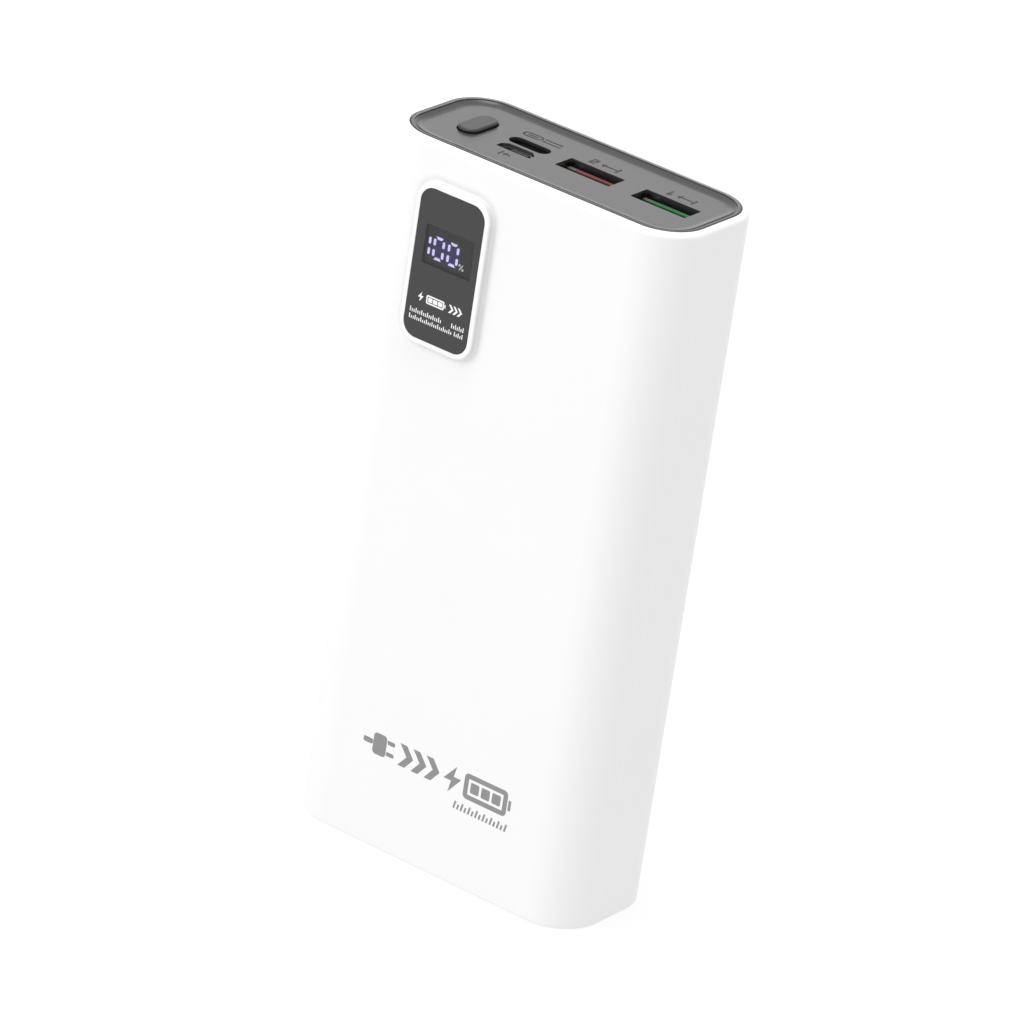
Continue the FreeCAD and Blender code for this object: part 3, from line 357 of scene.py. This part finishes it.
def stroke_shape(start, end, width):
    """Straight stroke with square ends."""
    along = Vector((end[0] - start[0], end[1] - start[1])).normalized()
    side = Vector((-along.y, along.x)) * width / 2.0
    return [(start[0] + side.x, start[1] + side.y), (start[0] - side.x, start[1] - side.y),
            (end[0] - side.x, end[1] - side.y), (end[0] + side.x, end[1] + side.y)]


def bolt(middle, size):
    """Lightning bolt."""
    half_w, half_h = size[0] / 2.0, size[1] / 2.0
    plan = ((0.35, 1.0), (-1.0, -0.14), (-0.12, -0.14), (-0.35, -1.0), (1.0, 0.2),
            (0.12, 0.2))
    return [[(middle[0] + u * half_w, middle[1] + v * half_h) for u, v in plan]]


def chevron(middle, size, stroke):
    """Arrowhead that points to the right."""
    u, v = middle
    half_w, half_h = size[0] / 2.0, size[1] / 2.0
    return [[(u - half_w, v + half_h), (u + half_w - stroke, v), (u - half_w, v - half_h),
             (u - half_w + stroke, v - half_h), (u + half_w, v),
             (u - half_w + stroke, v + half_h)]]


def battery(middle, size, stroke, levels):
    """Battery outline with its terminal and level blocks."""
    nub = size[0] * 0.08
    body = (size[0] - nub, size[1])
    centre = (middle[0] - nub / 2.0, middle[1])
    shapes = [frame_shape(centre, body, size[1] * 0.18, stroke)]
    nub_u = middle[0] + size[0] / 2.0 - nub * 0.35
    shapes.append(round_rect((nub_u, middle[1]), (nub * 0.7, size[1] * 0.4), nub * 0.2))
    room = body[0] - 2.0 * stroke
    gap = stroke * 0.55
    width = (room - gap * (levels + 1)) / levels
    for level in range(levels):
        left = centre[0] - room / 2.0 + gap + level * (width + gap)
        shapes.append(round_rect((left + width / 2.0, middle[1]),
                                 (width, size[1] - 2.0 * (stroke + gap)), width * 0.15))
    return shapes


def plug(middle, size):
    """Plug with two pins and its lead, lying on its side."""
    u, v = middle
    width, height = size
    body_w = width * 0.42
    shapes = [round_rect((u + width * 0.02, v), (body_w, height * 0.9), height * 0.16)]
    for side in (-1.0, 1.0):
        shapes.append(round_rect((u + width * 0.37, v + side * height * 0.24),
                                 (width * 0.24, height * 0.17), height * 0.05))
    shapes.append(round_rect((u - width * 0.35, v), (width * 0.3, height * 0.22),
                             height * 0.08))
    return shapes


def tick_scale(left, base, length, pitch, heights, width, slant=0.0):
    """Row of fine upright ticks, like a ruler."""
    shapes = []
    for index in range(int(length / pitch) + 1):
        height = heights[index % len(heights)]
        u = left + index * pitch
        shapes.append(stroke_shape((u, base), (u + slant * height, base + height), width))
    return shapes


def arrow(middle, size, stroke, forward=1.0):
    """Straight arrow along the row."""
    u, v = middle
    half_w, half_h = size[0] / 2.0, size[1] / 2.0
    tail = u - forward * half_w
    neck = u + forward * (half_w - half_h)
    tip = u + forward * half_w
    slim = stroke / 2.0
    return [[(tail, v + slim), (neck, v + slim), (neck, v + half_h), (tip, v),
             (neck, v - half_h), (neck, v - slim), (tail, v - slim)]]


def numeral(value, middle, size, stroke):
    """The figure 1 or 2 as one blocky outline."""
    half_w, half_h = size[0] / 2.0, size[1] / 2.0
    slim = stroke / 2.0
    if value == 1:
        plan = [(slim, half_h), (slim, -half_h), (-slim, -half_h),
                (-slim, half_h - 1.5 * stroke), (-half_w, half_h - 2.2 * stroke),
                (-half_w, half_h - 1.1 * stroke), (-slim, half_h)]
    else:
        plan = [(-half_w, half_h), (half_w, half_h), (half_w, -slim),
                (-half_w + stroke, -slim), (-half_w + stroke, -half_h + stroke),
                (half_w, -half_h + stroke), (half_w, -half_h), (-half_w, -half_h),
                (-half_w, slim), (half_w - stroke, slim),
                (half_w - stroke, half_h - stroke), (-half_w, half_h - stroke)]
    return [[(middle[0] + u, middle[1] + v) for u, v in plan]]


def new_piece(name, mesh, material):
    """Object made of a finished mesh, which is freed."""
    data = bpy.data.meshes.new(name)
    mesh.to_mesh(data)
    mesh.free()
    piece = bpy.data.objects.new(name, data)
    bpy.context.scene.collection.objects.link(piece)
    data.materials.append(material)
    return piece


def printed(name, shapes, place, thickness, material):
    """Thin raised layer of ink in the given shapes. place turns (u, v, w) into 3-D."""
    mesh = bmesh.new()
    for shape in shapes:
        outer, inner = shape if isinstance(shape, tuple) else (shape, None)
        rings = []
        for outline in (outer, inner) if inner else (outer,):
            for height in (0.0, thickness):
                rings.append([mesh.verts.new(place(u * MM, v * MM, height))
                              for u, v in outline])
        count = len(outer)
        if inner is None:
            mesh.faces.new(rings[0])
            mesh.faces.new(rings[1])
        for index in range(count):
            after = (index + 1) % count
            walls = [(rings[0], rings[1])]
            if inner is not None:
                walls += [(rings[2], rings[3]), (rings[0], rings[2]), (rings[1], rings[3])]
            for ring_a, ring_b in walls:
                mesh.faces.new((ring_a[index], ring_a[after], ring_b[after], ring_b[index]))
    bmesh.ops.recalc_face_normals(mesh, faces=mesh.faces)
    piece = new_piece(name, mesh, material)
    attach(piece, "bank")


# ------------------------------------------------------------ marks on the body
def on_front(u, v, w):
    """Point on the plain front wall, w in front of it."""
    return Vector((u, FRONT_Y - w, v))


def body_marks():
    """Row of charging pictograms low on the front, with a fine scale under it."""
    middle_v = 22.1
    height = 6.0
    chevron_pitch = 3.3
    shapes = plug((-14.7, middle_v), (7.8, height * 0.86))
    for index in range(3):
        centre_u = -7.9 + index * chevron_pitch
        shapes += chevron((centre_u, middle_v), (3.6, height * 0.8), 1.7)
    shapes += bolt((3.7, middle_v), (4.2, height))
    shapes += battery((12.4, middle_v), (11.6, height * 0.92), 1.05, 3)
    printed("body_mark_row", shapes, on_front, INK, GREY_INK)
    scale = tick_scale(4.9, 16.3, 13.0, 0.9, (1.65, 1.1), 0.42, slant=0.22)
    printed("body_mark_scale", scale, on_front, INK, GREY_INK)


# ---------------------------------------------------------- marks on the panel
def on_panel(centre_u, centre_v):
    """The panel's marks face away from the display side, so they are turned round."""
    def place(u, v, w):
        return Vector((centre_u * MM - u, centre_v * MM - v, PANEL_FLOOR + w))
    return place


def panel_marks():
    """Small pictograms behind each socket: connector shape, arrows and numbers."""
    stroke = 0.45
    slot_mark = [frame_shape((2.3, 0.0), (4.7, 2.2), 1.08, stroke),
                 round_rect((2.3, 0.0), (2.5, 0.45), 0.2)]
    slot_mark += arrow((-2.4, 0.6), (4.3, 1.0), stroke, 1.0)
    slot_mark += arrow((-2.4, -0.6), (4.3, 1.0), stroke, -1.0)
    printed("panel_mark_slot", slot_mark, on_panel(-11.8, 5.5), INK, PANEL_INK)
    for value, centre_u in ((2, 3.25), (1, 21.4)):
        mark = arrow((-1.0, 0.0), (3.6, 1.9), stroke, 1.0)
        mark.append(stroke_shape((-3.2, -1.1), (-3.2, 1.1), stroke))
        mark += numeral(value, (2.55, 0.0), (1.4, 2.3), stroke)
        printed("panel_mark_" + str(value), mark, on_panel(centre_u, 5.4), INK, PANEL_INK)
    entry = arrow((-0.3, 0.0), (1.8, 1.7), stroke, 1.0)
    entry.append(stroke_shape((1.05, -1.0), (1.05, 1.0), stroke))
    printed("panel_mark_entry", entry, on_panel(-11.65, -6.75), INK, PANEL_INK)


# --------------------------------------------------------------- window stack
def plate(name, outline, y_front, y_back, bevel, material):
    """Flat plate that lies along the front, with a small rounding on its edges."""
    mesh = bmesh.new()
    front = [mesh.verts.new((u * MM, y_front, v * MM)) for u, v in outline]
    back = [mesh.verts.new((u * MM, y_back, v * MM)) for u, v in outline]
    mesh.faces.new(front)
    mesh.faces.new(back)
    for index in range(len(outline)):
        after = (index + 1) % len(outline)
        mesh.faces.new((front[index], front[after], back[after], back[index]))
    bmesh.ops.recalc_face_normals(mesh, faces=mesh.faces)
    if bevel:
        rims = [edge for edge in mesh.edges
                if abs(edge.verts[0].co.y - edge.verts[1].co.y) < 1e-9]
        bmesh.ops.bevel(mesh, geom=rims, offset=bevel, segments=3, profile=0.5,
                        affect="EDGES")
    for face in mesh.faces:
        face.smooth = True
    piece = new_piece(name, mesh, material)
    weighted = piece.modifiers.new("flat_faces", "WEIGHTED_NORMAL")
    weighted.keep_sharp = True
    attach(piece, "bank")
    return piece


LENS_FRONT = WINDOW_LOW.y + 2.0 * INK  # the lens sits behind its two printed layers


def on_lens(u, v, w):
    """Point on the face of the lens, w in front of it."""
    return Vector((u, LENS_FRONT - w, v))


def on_print(u, v, w):
    """Point on the dark print, w in front of it."""
    return Vector((u, LENS_FRONT - INK - w, v))


def window_stack():
    """Smoked lens, dark print with a clear slot for the digits, and white marks."""
    middle = (WINDOW_LOW + WINDOW_HIGH) / 2.0 / MM
    size = (WINDOW_HIGH - WINDOW_LOW) / MM
    corner = 3.09
    arc_steps = 16
    outline = round_rect((middle.x, middle.z), (size.x, size.z), corner, arc_steps)
    lens = plate("window_lens", outline, LENS_FRONT, WINDOW_HIGH.y, 0.12 * MM,
                 MATERIALS["smoked_window"])
    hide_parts("display_window")

    inset = 0.2
    edge = round_rect((middle.x, middle.z), (size.x - inset, size.z - inset),
                      corner - inset / 2.0, arc_steps)
    top = BODY_TOP / MM
    slot_size = (11.65, 8.1)
    slot_middle = (-14.625, top - 19.7)
    hole = round_rect(slot_middle, slot_size, 0.3, arc_steps)
    printed("window_print", [(edge, hole)], on_lens, INK, MASK_INK)

    row_v = top - 30.7
    shapes = bolt((-19.4, row_v), (1.3, 2.1))
    shapes += battery((-15.7, row_v), (4.7, 1.8), 0.3, 3)
    chevron_pitch = 1.05
    for index in range(3):
        shapes += chevron((-12.0 + index * chevron_pitch, row_v), (1.2, 1.7), 0.5)
    printed("window_mark_row", shapes, on_print, INK, WHITE_INK)
    left = -21.4
    upper_v = top - 34.35
    lower_v = top - 35.75
    pitch = 0.46
    width = 0.2
    fine = tick_scale(left, upper_v, 7.6, pitch, (1.0, 0.65, 0.65), width)
    fine += tick_scale(-11.3, upper_v, 3.2, pitch, (1.0, 0.65), width)
    fine += tick_scale(left, lower_v, 10.2, pitch, (0.95, 0.6, 0.6), width)
    fine += tick_scale(-10.4, lower_v, 2.3, pitch, (0.95, 0.6), width)
    printed("window_mark_scale", fine, on_print, INK, WHITE_INK)


body_marks()
panel_marks()
window_stack()


# ----------------------------------------------------------------- stage and light
def floor():
    """Wide pale sweep, lit from inside like a photographer's light table."""
    radius = 8.0                       # metres
    bpy.ops.mesh.primitive_circle_add(vertices=96, radius=radius, fill_type="NGON")
    sweep = bpy.context.object
    sweep.name = "pale_floor"
    material, tree, shader = new_material("light_table")
    drift = object_noise(tree, 900.0)
    tone = tone_between(tree, drift.outputs["Fac"], (0.095, 0.095, 0.095),
                        (0.105, 0.105, 0.105))
    tree.links.new(tone, shader.inputs["Base Color"])
    shader.inputs["Roughness"].default_value = 0.8
    shader.inputs["Emission Color"].default_value = (1.0, 1.0, 1.0, 1.0)
    shader.inputs["Emission Strength"].default_value = 0.85
    sweep.data.materials.append(material)


def soft_light(name, azimuth, elevation, distance, size, power):
    """Square softbox that faces the middle of the body from one direction."""
    target = Vector((0.0, 0.0, BODY_TOP / 2.0))
    turn = math.radians(azimuth)
    lift = math.radians(elevation)
    away = Vector((math.sin(turn) * math.cos(lift), -math.cos(turn) * math.cos(lift),
                   math.sin(lift)))
    light = bpy.data.lights.new(name, "AREA")
    light.shape = "SQUARE"
    light.size = size
    light.energy = power
    lamp = bpy.data.objects.new(name, light)
    lamp.location = target + away * distance
    lamp.rotation_euler = away.to_track_quat("Z", "Y").to_euler()
    lamp.visible_camera = False
    bpy.context.scene.collection.objects.link(lamp)


# Azimuth from the front towards +X and elevation, in degrees; distance and size in
# metres; power in watts
SOFTBOXES = (
    ("overhead", 0.0, 89.0, 2.2, 1.4, 30.5),
    ("key", -40.0, 35.0, 2.2, 1.2, 12.2),
    ("front_fill", 0.0, 15.0, 2.2, 1.2, 3.6),
    ("left_back", -146.0, 16.0, 2.4, 1.1, 3.2),
)


def studio():
    """Even surroundings with softboxes overhead, in front, front left and behind."""
    world = bpy.data.worlds.new("studio")
    world.use_nodes = True
    background = world.node_tree.nodes["Background"]
    background.inputs["Color"].default_value = (1.0, 1.0, 1.0, 1.0)
    background.inputs["Strength"].default_value = 0.7
    bpy.context.scene.world = world
    for softbox in SOFTBOXES:
        soft_light(*softbox)
    view = bpy.context.scene.view_settings
    view.view_transform = "Standard"
    view.look = "None"


CAMERA_PLACE = Vector((0.73533, -1.10288, 0.67227))
CAMERA_HEADING = 33.77                 # degrees it is turned left of +Y
CAMERA_PITCH = 24.29                   # degrees it looks down
CAMERA_ROLL = 8.75                     # degrees it is tipped sideways
CAMERA_LENS = 262.9                    # millimetres, for the sensor below
CAMERA_SENSOR = 36.0


def camera():
    """Long lens, tipped sideways so that the body leans to the right."""
    heading = math.radians(CAMERA_HEADING)
    pitch = math.radians(CAMERA_PITCH)
    roll = math.radians(CAMERA_ROLL)
    forward = Vector((-math.sin(heading) * math.cos(pitch),
                      math.cos(heading) * math.cos(pitch), -math.sin(pitch)))
    level = forward.cross(Vector((0.0, 0.0, 1.0))).normalized()
    upward = level.cross(forward)
    right = level * math.cos(roll) + upward * math.sin(roll)
    up = right.cross(forward)
    turn = Matrix((right, up, -forward)).transposed().to_4x4()
    data = bpy.data.cameras.new("camera")
    data.sensor_width = CAMERA_SENSOR
    data.lens = CAMERA_LENS
    data.clip_start = 0.01
    data.clip_end = 50.0
    eye = bpy.data.objects.new("camera", data)
    eye.matrix_world = Matrix.Translation(CAMERA_PLACE) @ turn
    bpy.context.scene.collection.objects.link(eye)
    bpy.context.scene.camera = eye


floor()
studio()
camera()
